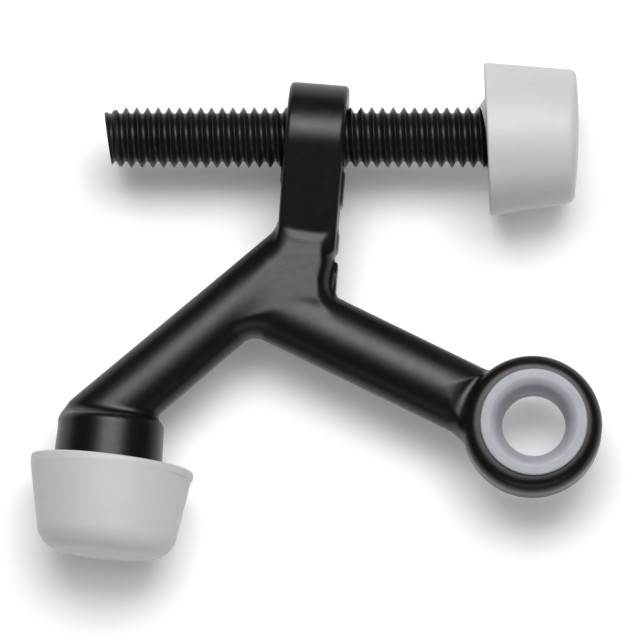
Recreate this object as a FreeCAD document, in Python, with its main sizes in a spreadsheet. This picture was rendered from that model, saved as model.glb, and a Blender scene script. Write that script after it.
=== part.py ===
"""Hinge-pin door stop: a cast Y-shaped arm with an eye that drops over a hinge pin, a fixed
rubber foot, and a threaded rod with a swivelling rubber tip that sets how far the door opens.

Frame: the origin is the centre of the hinge-pin bore at mid-height, +Z runs up the bore,
+X runs along the threaded rod towards its rubber tip, and all sizes are in millimetres.
"""
import FreeCAD, Part
import math
import os

import Sketcher

V = FreeCAD.Vector

SIZES = [
    # the eye and its two flanged bushes
    ("eye_radius", 9.13, "outer radius of the cast eye"),
    ("eye_x", -0.17, "the cast eye sits a little off the bore's axis"),
    ("eye_y", -0.11, "the cast eye sits a little off the bore's axis"),
    ("eye_height", 8.0, "height of the cast eye between its flat faces"),
    ("eye_round", 1.9, "rounding of the eye's outer edges"),
    ("bush_seat_radius", 5.6, "radius of the cast hole that holds the bush barrels"),
    ("bush_fit", 0.02, "radial gap of a bush barrel in its seat"),
    ("flange_radius", 7.0, "outer radius of a bush flange"),
    ("flange_thickness", 0.7, "thickness of a bush flange"),
    ("flange_round", 0.2, "rounding of a bush flange's rim"),
    ("pin_bore_radius", 4.16, "radius of the bore for a 5/16 inch hinge pin"),
    ("pin_land_half", 1.3, "half length of the straight part of the pin bore"),
    ("pin_mouth_radius", 6.0, "radius of the bell mouth at each end of the pin bore"),
    ("bush_gap_half", 0.05, "half of the gap between the two bushes"),
    # the threaded rod, 5/16 inch with 18 threads to the inch
    ("pitch", 25.4 / 18, "thread pitch"),
    ("rod_axis_y", 38.42, "distance of the rod's axis from the hinge pin's axis"),
    ("helix_x", -59.122, "start of the thread's helix, beyond the rod's end"),
    ("rod_end_x", -56.65, "plain end of the rod"),
    ("rod_crest_radius", 3.97, "thread crest radius of the rod"),
    ("rod_root_radius", 3.20, "thread root radius of the rod"),
    ("root_flat", 0.37, "width of the flat at the rod's thread root"),
    ("flank_angle", 30.0, "angle of each thread flank to the rod's cross section"),
    ("rod_nose_slope", 14.0, "angle of the long lead-in chamfer on the rod's end"),
    ("rod_nose_radius", 3.3, "radius of the rod's end after its chamfer"),
    ("rod_end_skew", 8.0, "lean of the sheared face on the rod's end"),
    ("head_radius", 6.0, "radius of the flat head inside the rubber tip"),
    ("head_thickness", 2.0, "thickness of the flat head"),
    ("head_face_x", 0.4, "outer face of the flat head"),
    ("head_round", 0.4, "rounding of the flat head's edges"),
    # the tapped hole
    ("tap_minor_radius", 3.32, "radius of the hole before it is tapped"),
    ("tap_clearance", 0.09, "gap of the tapped thread all round the rod's thread"),
    ("tap_half_length", 5.5, "half length of the tapping cut, which runs out of both faces"),
    ("cut_overlap", 0.1, "how far a thread cut starts inside the drilled hole's wall"),
    ("cut_runout", 0.25, "how far a thread cut reaches past the crests"),
    # the swivelling tip on the rod
    ("rod_tip_back_x", -6.14, "back face of the rod's rubber tip"),
    ("rod_tip_drop", 0.24, "how far the moulded tip sits below the rod's axis"),
    ("rod_tip_length", 12.0, "length of the rod's rubber tip"),
    ("rod_tip_rim_radius", 10.13, "largest radius of the rod's rubber tip"),
    ("rod_tip_front_radius", 8.67, "radius of the rod's rubber tip at its front"),
    ("rod_tip_lean", 2.3, "lean of the moulded tip on the rod"),
    ("rod_tip_front_x", 5.96, "the front face's foremost point"),
    ("rod_tip_front_rise", 1.25, "height of that point above the rod's axis"),
    ("rod_tip_dome_radius", 79, "radius of the domed front face"),
    ("rod_tip_round", 0.85, "rounding of the tip's front edge"),
    ("rod_tip_rim_round", 0.35, "rounding of the tip's back edge"),
    ("lip_height", 0.85, "height of the lip beside the rod on the tip's back face"),
    ("lip_foot_radius", 4.7, "radius of that lip at the back face"),
    ("lip_mouth_radius", 3.6, "radius of that lip at its edge"),
    ("lip_y", 0.62, "how far the lip's centre is off the rod's axis, away from the hinge"),
    ("lip_z", -0.5, "how far the lip's centre is off the rod's axis, along the hinge pin"),
    ("swivel_clearance", 0.08, "gap between the rod and the tip that turns on it"),
    # the lug that the rod screws through
    ("lug_x", -28.7, "middle of the lug on the rod's axis"),
    ("lug_width", 7.75, "width of the lug along the rod"),
    ("lug_radius", 7.1, "radius of the lug round the rod"),
    ("lug_lean", 4.7, "lean of the lug towards the rod's tip"),
    ("lug_flank", 17.2, "angle of the lug's tapering front and back faces"),
    ("lug_reach", 15.5, "distance from the rod's axis to the end of the taper"),
    ("lug_round", 0.6, "rounding of the lug's edges"),
    # the three limbs of the arm, which meet at one point
    ("joint_x", -37.4, "where the two long limbs' centre lines meet"),
    ("joint_y", 17.5, "where the two long limbs' centre lines meet"),
    ("arm_depth", 6.9, "thickness of the limbs along the hinge pin"),
    ("eye_arm_width", 9.4, "width of the limb to the eye"),
    ("eye_arm_angle", -26.1, "direction of the limb to the eye"),
    ("eye_arm_length", 33.5, "length of the limb to the eye"),
    ("foot_arm_width", 8.95, "width of the limb to the foot"),
    ("foot_arm_angle", 220.6, "direction of the limb to the foot"),
    ("foot_arm_length", 29.35, "length of the limb to the foot"),
    ("foot_arm_overlap", 8.6, "how far that limb runs on past the joint into the neck"),
    ("foot_arm_round", 1.8, "rounding of that limb's end"),
    ("neck_y", 14.6, "lower end of the neck between the lug and the limbs"),
    ("neck_length", 11.6, "length of the neck"),
    ("neck_depth", 6.7, "thickness of the neck along the hinge pin"),
    ("neck_round", 2.2, "rounding of the neck's long edges"),
    # low raised pads on the sides of the lug and neck, each with its middle's distance
    # below the rod's axis
    ("pad_width", 3.4, "width of a pad across the lug"),
    ("pad_round", 0.25, "rounding of a pad's edges"),
    ("upper_pad_drop", 6.75, "middle of the upper right pad"),
    ("middle_pad_drop", 13.9, "middle of the middle right pad"),
    ("lower_pad_drop", 18.9, "middle of the lower right pad"),
    ("left_pad_drop", 5.5, "middle of the left pad"),
    ("long_pad_length", 4.6, "length of the upper and lower right pads"),
    ("short_pad_length", 2.4, "length of the other two pads"),
    ("upper_pad_height", 0.38, "height of the upper right pad"),
    ("lower_pad_height", 0.5, "height of the lower right pad"),
    ("low_pad_height", 0.28, "height of the two short pads"),
    # the foot boss, its stud and the rubber foot's cavity, all on one leaning axis
    ("foot_x", -55.93, "where that axis crosses the rubber foot's rim"),
    ("foot_y", -5.13, "where that axis crosses the rubber foot's rim"),
    ("foot_lean", 4.9, "lean of that axis"),
    ("boss_top", 6.3, "top of the boss above the foot's rim"),
    ("boss_top_radius", 6.9, "radius of the boss at its top"),
    ("boss_base_radius", 7.2, "radius of the boss where the foot holds it"),
    ("boss_round", 1.1, "rounding of the boss's top edge"),
    ("boss_recess", 0.8, "how deep the boss sits in the foot"),
    ("stud_radius", 3.6, "radius of the stud inside the foot"),
    ("stud_length", 6.6, "length of the stud inside the foot"),
    ("bead_radius", 4.4, "radius of the bead that keeps the foot on"),
    ("bead_height", 1.6, "height of that bead"),
    ("bead_lift", 0.8, "height of that bead above the stud's end"),
    ("foot_fit", 0.02, "gap between the casting and the foot"),
    # the outside of the rubber foot, which sits askew on its stud
    ("rim_x", -55.265, "centre of the foot's rolled rim"),
    ("rim_y", -4.93, "centre of the foot's rolled rim"),
    ("rim_lean", 6.7, "lean of the rolled rim"),
    ("rim_radius", 10.72, "radius of the rolled rim"),
    ("rim_height", 1.3, "height of the rolled rim"),
    ("rim_round", 0.45, "rounding of the rolled rim"),
    ("skirt_lean", 3.8, "lean of the tapered skirt under the rim"),
    ("skirt_x", -55.4, "centre of the skirt's top, inside the rim"),
    ("skirt_y", -5.88, "centre of the skirt's top, inside the rim"),
    ("skirt_radius", 10.63, "radius of the skirt at its top"),
    ("skirt_taper", 10.0, "angle of the skirt's side to its axis"),
    ("skirt_length", 14, "length of the skirt before its sole is cut"),
    ("sole_lean", 5.5, "lean of the sole"),
    ("sole_depth", 12.5, "distance from the rim's centre to the middle of the sole"),
    ("sole_dome_radius", 44, "radius of the domed sole"),
    ("sole_round", 2.2, "rounding of the sole's edge"),
]

# expressions that more than one piece uses
STUD_END = "(Sizes.boss_recess + Sizes.stud_length)"
HELIX_START = "Sizes.helix_x"
TAP_START = "(Sizes.lug_x - Sizes.tap_half_length)"
FOOT_PLACE = {"x": "Sizes.foot_x", "y": "Sizes.foot_y", "yaw": "-Sizes.foot_lean", "roll": "-90"}
TIP_BLANK_LENGTH = "(2 * Sizes.rod_tip_length)"
TIP_END_RADIUS = "(2 * Sizes.rod_tip_front_radius - Sizes.rod_tip_rim_radius)"

doc = FreeCAD.newDocument("hinge_pin_door_stop")
sheet = doc.addObject("Spreadsheet::Sheet", "Sizes")
for row, (alias, value, meaning) in enumerate(SIZES, start=1):
    sheet.set("A%d" % row, repr(value))
    sheet.setAlias("A%d" % row, alias)
    sheet.set("B%d" % row, meaning)
doc.recompute()


def size(alias):
    """The value of one driving dimension."""
    return float(sheet.get(alias))


def bind(thing, **expressions):
    """Bind properties to expressions in the sheet's names."""
    for name, expression in expressions.items():
        thing.setExpression(name, expression)


def add(kind, name, **expressions):
    """Add one document object and bind its sizes."""
    thing = doc.addObject(kind, name)
    bind(thing, **expressions)
    return thing


def place(thing, x="0", y="0", z="0", yaw="0", pitch="0", roll="0"):
    """Bind a thing's Placement: a position, and turns about Z, Y and X in degrees."""
    thing.setExpression("Placement", "placement(vector(%s; %s; %s); rotation(%s; %s; %s))"
                        % (x, y, z, yaw, pitch, roll))
    return thing


def combine(kind, name, base, tool):
    """A cut or a common of two objects."""
    thing = doc.addObject(kind, name)
    thing.Base, thing.Tool = base, tool
    return thing


def fuse(name, *things):
    """One solid from several overlapping ones, with split faces joined again."""
    thing = doc.addObject("Part::MultiFuse", name)
    thing.Shapes = list(things)
    thing.Refine = True
    return thing


def rounded(name, base, radius, chosen):
    """Round the edges of base for which chosen(edge) is true."""
    doc.recompute()
    numbers = [i for i, edge in enumerate(base.Shape.Edges, start=1) if chosen(edge)]
    assert numbers, name + " has no edge to round"
    thing = doc.addObject("Part::Fillet", name)
    thing.Base = base
    thing.Edges = [(i, size(radius), size(radius)) for i in numbers]
    return thing


def is_circle(edge, radius):
    """True for a whole circle of one radius, such as the rim of a disc."""
    if edge.Degenerated or not edge.isClosed() or not isinstance(edge.Curve, Part.Circle):
        return False
    return abs(edge.Curve.Radius - radius) < 1e-4


# ------------------------------------------------------------ bodies and sketches

def new_body(name):
    body = doc.addObject("PartDesign::Body", name)
    body.Label = name
    return body


def new_sketch(body, name, plane):
    """A sketch on one of the body's own origin planes."""
    sketch = body.newObject("Sketcher::SketchObject", name)
    origin = next(f for f in body.Origin.OriginFeatures if f.Role == plane)
    sketch.AttachmentSupport = [(origin, "")]
    sketch.MapMode = "FlatFace"
    return sketch


def add_arc(sketch, start, end, radius, bulge):
    """An arc from start to end that bulges left (+1) or right (-1) of the way there."""
    chord = end - start
    left = V(-chord.y, chord.x, 0).normalize()
    drop = math.sqrt(radius ** 2 - (chord.Length / 2) ** 2)
    centre = (start + end) * 0.5 - left * (drop * bulge)
    first, last = (end, start) if bulge > 0 else (start, end)
    low = math.atan2(first.y - centre.y, first.x - centre.x)
    high = math.atan2(last.y - centre.y, last.x - centre.x)
    high += 2 * math.pi * (high < low)
    side = sketch.addGeometry(Part.ArcOfCircle(Part.Circle(centre, V(0, 0, 1), radius), low, high))
    return (side, 2, 1) if bulge > 0 else (side, 1, 2)


def outline(sketch, corners, arcs=None):
    """A closed outline through corners, each a pair of expressions in the sheet's names.

    arcs gives, by the number of a side, its radius expression and the way it bulges.
    """
    arcs = arcs or {}
    value = sketch.evalExpression
    points = [V(float(value(x)), float(value(y)), 0) for x, y in corners]
    sides = []
    for i, start in enumerate(points):
        end = points[(i + 1) % len(points)]
        if i in arcs:
            radius, bulge = arcs[i]
            sides.append(add_arc(sketch, start, end, float(value(radius)), bulge))
        else:
            sides.append((sketch.addGeometry(Part.LineSegment(start, end)), 1, 2))
    for i, (side, first, last) in enumerate(sides):
        after, after_first, _ = sides[(i + 1) % len(sides)]
        sketch.addConstraint(Sketcher.Constraint("Coincident", side, last, after, after_first))
        for kind, axis, number, text in (("DistanceX", -2, points[i].x, corners[i][0]),
                                         ("DistanceY", -1, points[i].y, corners[i][1])):
            if abs(number) < 1e-9:
                sketch.addConstraint(Sketcher.Constraint("PointOnObject", side, first, axis))
                continue
            index = sketch.addConstraint(Sketcher.Constraint(kind, -1, 1, side, first, number))
            sketch.setExpression("Constraints[%d]" % index, text)
    for i, (radius, bulge) in arcs.items():
        index = sketch.addConstraint(Sketcher.Constraint("Radius", sides[i][0], float(value(radius))))
        sketch.setExpression("Constraints[%d]" % index, radius)


def turned(body, kind, name, sketch, axis):
    """A Revolution or a Groove of a sketch about its own H_Axis or V_Axis."""
    feature = body.newObject(kind, name)
    feature.Profile = sketch
    feature.ReferenceAxis = (sketch, [axis])
    feature.Angle = 360
    doc.recompute()
    return feature


def softened(body, name, feature, radius, chosen):
    """A PartDesign fillet on the edges of a feature for which chosen(edge) is true."""
    names = ["Edge%d" % i for i, edge in enumerate(feature.Shape.Edges, start=1) if chosen(edge)]
    assert names, name + " has no edge to round"
    fillet = body.newObject("PartDesign::Fillet", name)
    fillet.Base = (feature, names)
    bind(fillet, Radius="Sizes." + radius)
    doc.recompute()
    return fillet


# ------------------------------------------------------------------- the casting

def limb(name, width, length, x, y, angle):
    """A straight limb of elliptical section that starts at (x, y)."""
    section = add("Part::Ellipse", name + "_section",
                  MajorRadius="max(%s; Sizes.arm_depth) / 2" % width,
                  MinorRadius="min(%s; Sizes.arm_depth) / 2" % width)
    place(section, yaw="90", roll="90")
    solid = add("Part::Extrusion", name, LengthFwd=length)
    solid.Base, solid.DirMode, solid.Dir, solid.Solid = section, "Custom", V(1, 0, 0), True
    return place(solid, x, y, yaw=angle)


def pad(name, height, drop, length, side):
    """A low raised pad on one side of the lug; side is +1 for the side towards the rod's tip."""
    height, drop, length = ("Sizes." + alias for alias in (height, drop, length))
    block = add("Part::Box", name + "_block", Length="Sizes.lug_width / 4 + " + height,
                Width=length, Height="Sizes.pad_width")
    reach = "Sizes.lug_width / 2 + " + height
    left = "Sizes.lug_width / 4" if side > 0 else "-(%s)" % reach
    place(block, left, "-(%s) - %s / 2" % (drop, length), "-Sizes.pad_width / 2")
    face_x = side * float(block.evalExpression(reach))

    def on_face(edge):
        return all(abs(vertex.Point.x - face_x) < 1e-4 for vertex in edge.Vertexes)

    return rounded(name, block, "pad_round", on_face)


def make_eye():
    blank = add("Part::Cylinder", "eye_blank", Radius="Sizes.eye_radius", Height="Sizes.eye_height")
    place(blank, "Sizes.eye_x", "Sizes.eye_y", "-Sizes.eye_height / 2")
    return rounded("eye", blank, "eye_round", lambda edge: is_circle(edge, size("eye_radius")))


def make_neck():
    """A block with rounded long edges between the lug and the two long limbs."""
    block = add("Part::Box", "neck_block", Length="Sizes.lug_width", Width="Sizes.neck_length",
                Height="Sizes.neck_depth")
    drop = "(Sizes.neck_y - Sizes.rod_axis_y) / cos(Sizes.lug_lean)"
    place(block, "-Sizes.lug_width / 2", drop, "-Sizes.neck_depth / 2")
    neck = rounded("neck", block, "neck_round",
                   lambda edge: abs(edge.Length - size("neck_length")) < 1e-4)
    return place(neck, "Sizes.lug_x", "Sizes.rod_axis_y", yaw="-Sizes.lug_lean")


def make_lug():
    """A disc round the rod that tapers down to the limbs like a drop."""
    disc = add("Part::Cylinder", "lug_disc", Radius="Sizes.lug_radius", Height="Sizes.lug_width")
    place(disc, x="-Sizes.lug_width / 2", pitch="90")
    end_half = "(Sizes.lug_radius - Sizes.lug_reach * sin(Sizes.lug_flank)) / cos(Sizes.lug_flank)"
    start_half = "Sizes.lug_radius * cos(Sizes.lug_flank)"
    taper = add("Part::Wedge", "lug_taper",
                Xmin="-Sizes.lug_width / 2", Xmax="Sizes.lug_width / 2",
                X2min="-Sizes.lug_width / 2", X2max="Sizes.lug_width / 2",
                Ymin="-Sizes.lug_reach", Ymax="-Sizes.lug_radius * sin(Sizes.lug_flank)",
                Zmin="-" + end_half, Zmax=end_half, Z2min="-" + start_half, Z2max=start_half)
    blank = fuse("lug_blank", disc, taper)
    width, reach = size("lug_width"), size("lug_reach")

    def on_side(edge):
        """True for the outline of either flat side, without the taper's lower end."""
        ends = [vertex.Point for vertex in edge.Vertexes]
        on_a_side = all(abs(abs(point.x) - width / 2) < 1e-4 for point in ends)
        at_low_end = all(point.y < 1e-4 - reach for point in ends)
        return on_a_side and not at_low_end and abs(ends[0].x - ends[-1].x) < 1e-4

    pads = [pad("upper_right_pad", "upper_pad_height", "upper_pad_drop", "long_pad_length", 1),
            pad("middle_right_pad", "low_pad_height", "middle_pad_drop", "short_pad_length", 1),
            pad("lower_right_pad", "lower_pad_height", "lower_pad_drop", "long_pad_length", 1),
            pad("left_pad", "low_pad_height", "left_pad_drop", "short_pad_length", -1)]
    lug = fuse("lug", rounded("lug_rounded", blank, "lug_round", on_side), *pads)
    return place(lug, "Sizes.lug_x", "Sizes.rod_axis_y", yaw="-Sizes.lug_lean")


def make_foot_boss():
    """A short tapered boss with a beaded stud under it, which holds the rubber foot."""
    boss = add("Part::Cone", "boss", Radius1="Sizes.boss_base_radius",
               Radius2="Sizes.boss_top_radius", Height="Sizes.boss_top + Sizes.boss_recess")
    place(boss, z="-Sizes.boss_recess")
    top = rounded("boss_rounded", boss, "boss_round",
                  lambda edge: is_circle(edge, size("boss_top_radius")))
    stud = add("Part::Cylinder", "stud", Radius="Sizes.stud_radius", Height="Sizes.stud_length")
    place(stud, z="-" + STUD_END)
    bead = add("Part::Cylinder", "bead", Radius="Sizes.bead_radius", Height="Sizes.bead_height")
    place(bead, z="Sizes.bead_lift - " + STUD_END)
    return place(fuse("foot_boss", top, stud, bead), **FOOT_PLACE)


def thread_groove(name, inner, inner_half, outer, outer_half, x_start, turns):
    """A trapezoid swept along the screw thread's helix, to be cut out of a blank."""
    profile = doc.addObject("Sketcher::SketchObject", name + "_profile")
    outline(profile, [(inner, "-" + inner_half), (outer, "-" + outer_half),
                      (outer, outer_half), (inner, inner_half)])
    place(profile, roll="90")
    helix = add("Part::Helix", name + "_helix", Pitch="Sizes.pitch", Radius=inner,
                Height="Sizes.pitch * " + turns)
    helix.SegmentLength = 1
    doc.recompute()
    sweep = doc.addObject("Part::Sweep", name)
    sweep.Sections = [profile]
    sweep.Spine = (helix, ["Edge%d" % i for i in range(1, len(helix.Shape.Edges) + 1)])
    sweep.Solid, sweep.Frenet = True, True
    return place(sweep, x=x_start, y="Sizes.rod_axis_y", pitch="90")


def make_tapped_hole():
    """The room for the rod's thread in the lug, wider all round by the tap's clearance."""
    start, length = "Sizes.lug_x - Sizes.lug_width", "2 * Sizes.lug_width"
    drill = add("Part::Cylinder", "tap_drill", Radius="Sizes.tap_minor_radius", Height=length)
    place(drill, x=start, y="Sizes.rod_axis_y", pitch="90")
    inner = "(Sizes.rod_root_radius - Sizes.cut_overlap)"
    outer = "(Sizes.rod_crest_radius + Sizes.tap_clearance)"
    half = ("((Sizes.pitch - Sizes.root_flat) / 2 - (%s - Sizes.rod_root_radius)"
            " * tan(Sizes.flank_angle) + Sizes.tap_clearance / cos(Sizes.flank_angle))")
    turns_before = "(floor((%s - %s) / Sizes.pitch) + 0.5)" % (TAP_START, HELIX_START)
    groove = thread_groove("tap_groove", inner, half % inner, outer, half % outer,
                           "%s + Sizes.pitch * %s" % (HELIX_START, turns_before),
                           "(ceil(2 * Sizes.tap_half_length / Sizes.pitch) + 1)")
    return fuse("tapped_hole", drill, groove)


def make_foot_arm():
    """The limb to the foot, which starts inside the neck and has a rounded end in the boss."""
    angle, overlap = "Sizes.foot_arm_angle", "Sizes.foot_arm_overlap"
    arm = limb("foot_arm_blank", "Sizes.foot_arm_width", "Sizes.foot_arm_length + " + overlap,
               "Sizes.joint_x - %s * cos(%s)" % (overlap, angle),
               "Sizes.joint_y - %s * sin(%s)" % (overlap, angle), angle)
    joint = V(size("joint_x"), size("joint_y"), 0)
    beyond = size("foot_arm_length") - 1
    return rounded("foot_arm", arm, "foot_arm_round",
                   lambda edge: (edge.CenterOfMass - joint).Length > beyond)


def make_casting():
    """The arm in one piece: eye, two limbs, neck, lug and foot boss."""
    eye_arm = limb("eye_arm", "Sizes.eye_arm_width", "Sizes.eye_arm_length",
                   "Sizes.joint_x", "Sizes.joint_y", "Sizes.eye_arm_angle")
    foot_arm = make_foot_arm()
    blank = fuse("casting_blank", make_eye(), eye_arm, foot_arm, make_neck(), make_lug(),
                 make_foot_boss())
    seat = add("Part::Cylinder", "bush_seat", Radius="Sizes.bush_seat_radius",
               Height="2 * Sizes.eye_height")
    place(seat, z="-Sizes.eye_height")
    seated = combine("Part::Cut", "casting_with_seat", blank, seat)
    return combine("Part::Cut", "casting", seated, make_tapped_hole())


# ------------------------------------------------------------------ the other pieces

def make_bush(name, roll):
    """A flanged bush for one side of the eye, with a bell-mouthed bore."""
    body = new_body(name)
    sketch = new_sketch(body, name + "_section", "XZ_Plane")
    seat, face = "Sizes.eye_height / 2", "(Sizes.eye_height / 2 + Sizes.flange_thickness)"
    barrel = "Sizes.bush_seat_radius - Sizes.bush_fit"
    mouth = ("Sizes.pin_bore_radius + Sizes.pin_mouth_radius"
             " - sqrt(Sizes.pin_mouth_radius^2 - (%s - Sizes.pin_land_half)^2)" % face)
    outline(sketch, [("Sizes.pin_bore_radius", "Sizes.bush_gap_half"),
                     ("Sizes.pin_bore_radius", "Sizes.pin_land_half"),
                     (mouth, face), ("Sizes.flange_radius", face), ("Sizes.flange_radius", seat),
                     (barrel, seat), (barrel, "Sizes.bush_gap_half")],
            {1: ("Sizes.pin_mouth_radius", 1)})
    ring = turned(body, "PartDesign::Revolution", name + "_ring", sketch, "V_Axis")
    flange_middle = (size("eye_height") + size("flange_thickness")) / 2

    def outer_rim(edge):
        return is_circle(edge, size("flange_radius")) and edge.CenterOfMass.z > flange_middle

    softened(body, name + "_rim", ring, "flange_round", outer_rim)
    return place(body, roll=roll)


def make_threaded_rod():
    """A fully threaded rod with a long chamfer on its end and a flat head on the other."""
    nose = "((Sizes.rod_crest_radius - Sizes.rod_nose_radius) / tan(Sizes.rod_nose_slope))"
    tip = add("Part::Cone", "rod_nose", Radius1="Sizes.rod_nose_radius",
              Radius2="Sizes.rod_crest_radius", Height=nose)
    place(tip, x="Sizes.rod_end_x", y="Sizes.rod_axis_y", pitch="90")
    shank = add("Part::Cylinder", "rod_shank", Radius="Sizes.rod_crest_radius",
                Height="Sizes.head_face_x - Sizes.head_thickness / 2 - Sizes.rod_end_x - " + nose)
    place(shank, x="Sizes.rod_end_x + " + nose, y="Sizes.rod_axis_y", pitch="90")
    outer = "(Sizes.rod_crest_radius + Sizes.cut_runout)"
    groove = thread_groove(
        "rod_groove", "Sizes.rod_root_radius", "(Sizes.root_flat / 2)", outer,
        "(Sizes.root_flat / 2 + (%s - Sizes.rod_root_radius) * tan(Sizes.flank_angle))" % outer,
        HELIX_START, "ceil((Sizes.head_face_x - Sizes.head_thickness - %s) / Sizes.pitch)"
        % HELIX_START)
    threaded = combine("Part::Cut", "rod_thread", fuse("rod_blank", tip, shank), groove)
    saw = add("Part::Cylinder", "rod_end_cut", Radius="2 * Sizes.rod_crest_radius",
              Height="2 * Sizes.pitch")
    place(saw, x="Sizes.rod_end_x + Sizes.rod_nose_radius * tan(Sizes.rod_end_skew)",
          y="Sizes.rod_axis_y", yaw="Sizes.rod_end_skew", pitch="-90")
    disc = add("Part::Cylinder", "head_disc", Radius="Sizes.head_radius",
               Height="Sizes.head_thickness")
    place(disc, x="Sizes.head_face_x - Sizes.head_thickness", y="Sizes.rod_axis_y", pitch="90")
    head = rounded("rod_head", disc, "head_round",
                   lambda edge: is_circle(edge, size("head_radius")))
    return fuse("threaded_rod", combine("Part::Cut", "rod_sawn", threaded, saw), head)


def make_rod_tip():
    """A rubber tip whose moulded outside leans a little on the rod that it turns on."""
    cone = add("Part::Cone", "rod_tip_cone", Radius1="Sizes.rod_tip_rim_radius",
               Radius2=TIP_END_RADIUS, Height=TIP_BLANK_LENGTH)
    place(cone, "Sizes.rod_tip_back_x", "Sizes.rod_axis_y - Sizes.rod_tip_drop",
          yaw="Sizes.rod_tip_lean", pitch="90")
    ball = add("Part::Sphere", "rod_tip_ball", Radius="Sizes.rod_tip_dome_radius")
    place(ball, "Sizes.rod_tip_front_x - Sizes.rod_tip_dome_radius",
          "Sizes.rod_axis_y + Sizes.rod_tip_front_rise", yaw="180")
    domed = combine("Part::Common", "rod_tip_domed", cone, ball)
    rim, back = size("rod_tip_rim_radius"), size("rod_tip_back_x")
    front = rounded("rod_tip_front", domed, "rod_tip_round",
                    lambda edge: edge.CenterOfMass.x > 0 and not is_circle(edge, rim)
                    and edge.isClosed() and not edge.Degenerated)
    outside = rounded("rod_tip_outside", front, "rod_tip_rim_round",
                      lambda edge: is_circle(edge, rim) and edge.CenterOfMass.x < back + 1)
    lip = add("Part::Cone", "rod_tip_lip", Radius1="Sizes.lip_mouth_radius",
              Radius2="2 * Sizes.lip_foot_radius - Sizes.lip_mouth_radius",
              Height="2 * Sizes.lip_height")
    place(lip, "Sizes.rod_tip_back_x - Sizes.lip_height", "Sizes.rod_axis_y + Sizes.lip_y",
          "Sizes.lip_z", yaw="Sizes.rod_tip_lean", pitch="90")
    gap = "Sizes.swivel_clearance"
    throat = add("Part::Cylinder", "rod_tip_throat", Radius="Sizes.rod_crest_radius + " + gap,
                 Height="Sizes.rod_tip_length")
    place(throat, "Sizes.head_face_x - Sizes.rod_tip_length", "Sizes.rod_axis_y", pitch="90")
    pocket = add("Part::Cylinder", "rod_tip_pocket", Radius="Sizes.head_radius + " + gap,
                 Height="Sizes.head_thickness + 2 * " + gap)
    place(pocket, "Sizes.head_face_x - Sizes.head_thickness - " + gap, "Sizes.rod_axis_y",
          pitch="90")
    cavity = fuse("rod_tip_cavity", throat, pocket)
    return combine("Part::Cut", "rod_tip", fuse("rod_tip_form", outside, lip), cavity)


def make_foot_tip():
    """A tapered rubber foot with a rolled rim, pressed over the casting's beaded stud."""
    rim = add("Part::Cylinder", "foot_rim_blank", Radius="Sizes.rim_radius",
              Height="Sizes.rim_height")
    place(rim, "Sizes.rim_x - Sizes.rim_height * sin(Sizes.rim_lean)",
          "Sizes.rim_y - Sizes.rim_height * cos(Sizes.rim_lean)", yaw="-Sizes.rim_lean",
          roll="-90")
    rim = rounded("foot_rim", rim, "rim_round", lambda edge: is_circle(edge, size("rim_radius")))
    skirt = add("Part::Cone", "foot_skirt", Radius1="Sizes.skirt_radius",
                Radius2="Sizes.skirt_radius - Sizes.skirt_length * tan(Sizes.skirt_taper)",
                Height="Sizes.skirt_length")
    place(skirt, "Sizes.skirt_x", "Sizes.skirt_y", yaw="-Sizes.skirt_lean", roll="90")
    ball = add("Part::Sphere", "foot_sole_ball", Radius="Sizes.sole_dome_radius")
    drop = "(Sizes.sole_dome_radius - Sizes.sole_depth)"
    place(ball, "Sizes.rim_x + %s * sin(Sizes.sole_lean)" % drop,
          "Sizes.rim_y + %s * cos(Sizes.sole_lean)" % drop)
    domed = combine("Part::Common", "foot_domed", skirt, ball)
    top = size("skirt_radius")
    skirt = rounded("foot_sole", domed, "sole_round",
                    lambda edge: edge.isClosed() and not edge.Degenerated
                    and not is_circle(edge, top))
    gap = "Sizes.foot_fit"
    end = "(%s + %s)" % (STUD_END, gap)
    mouth = add("Part::Cylinder", "foot_mouth", Radius="Sizes.boss_base_radius + " + gap,
                Height="Sizes.boss_top")
    place(mouth, z="-Sizes.boss_recess - " + gap)
    hole = add("Part::Cylinder", "foot_hole", Radius="Sizes.stud_radius + " + gap,
               Height=STUD_END)
    place(hole, z="-" + end)
    swell = add("Part::Cylinder", "foot_swell", Radius="Sizes.bead_radius + " + gap,
                Height="Sizes.bead_height + 2 * " + gap)
    place(swell, z="Sizes.bead_lift - " + end)
    cavity = place(fuse("foot_cavity", mouth, hole, swell), **FOOT_PLACE)
    return combine("Part::Cut", "foot_tip", fuse("foot_form", rim, skirt), cavity)


def check_and_export(pieces):
    """Stop on any failed object, then write each piece to its own file."""
    doc.recompute()
    for thing in doc.Objects:
        assert not {"Invalid", "Error"} & set(thing.State), (thing.Name, thing.State)
    os.makedirs("parts", exist_ok=True)
    for name, piece in pieces.items():
        piece.Label = name
        shape = piece.Shape
        assert not shape.isNull() and shape.isValid(), name
        assert len(shape.Solids) == 1, (name, len(shape.Solids))
        shape.exportStep("parts/%s.step" % name)
        box = shape.BoundBox
        print("%-13s %8.1f mm3  x %.2f..%.2f  y %.2f..%.2f  z %.2f..%.2f" % (
            name, shape.Volume, box.XMin, box.XMax, box.YMin, box.YMax, box.ZMin, box.ZMax))


check_and_export({
    "casting": make_casting(),
    "upper_bush": make_bush("upper_bush", "0"),
    "lower_bush": make_bush("lower_bush", "180"),
    "threaded_rod": make_threaded_rod(),
    "rod_tip": make_rod_tip(),
    "foot_tip": make_foot_tip(),
})
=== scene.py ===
"""Looks for the hinge-pin door stop: one visible piece for each CAD node, built in mesh code.

The casting is a signed distance field with rounded joins, turned into a mesh; the other pieces
are turned or screwed up from outlines. Shapes are worked out in millimetres in the CAD frame
and written to the meshes in metres.
"""

import math

import bpy
import numpy as np
from mathutils import Matrix, Vector


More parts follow.
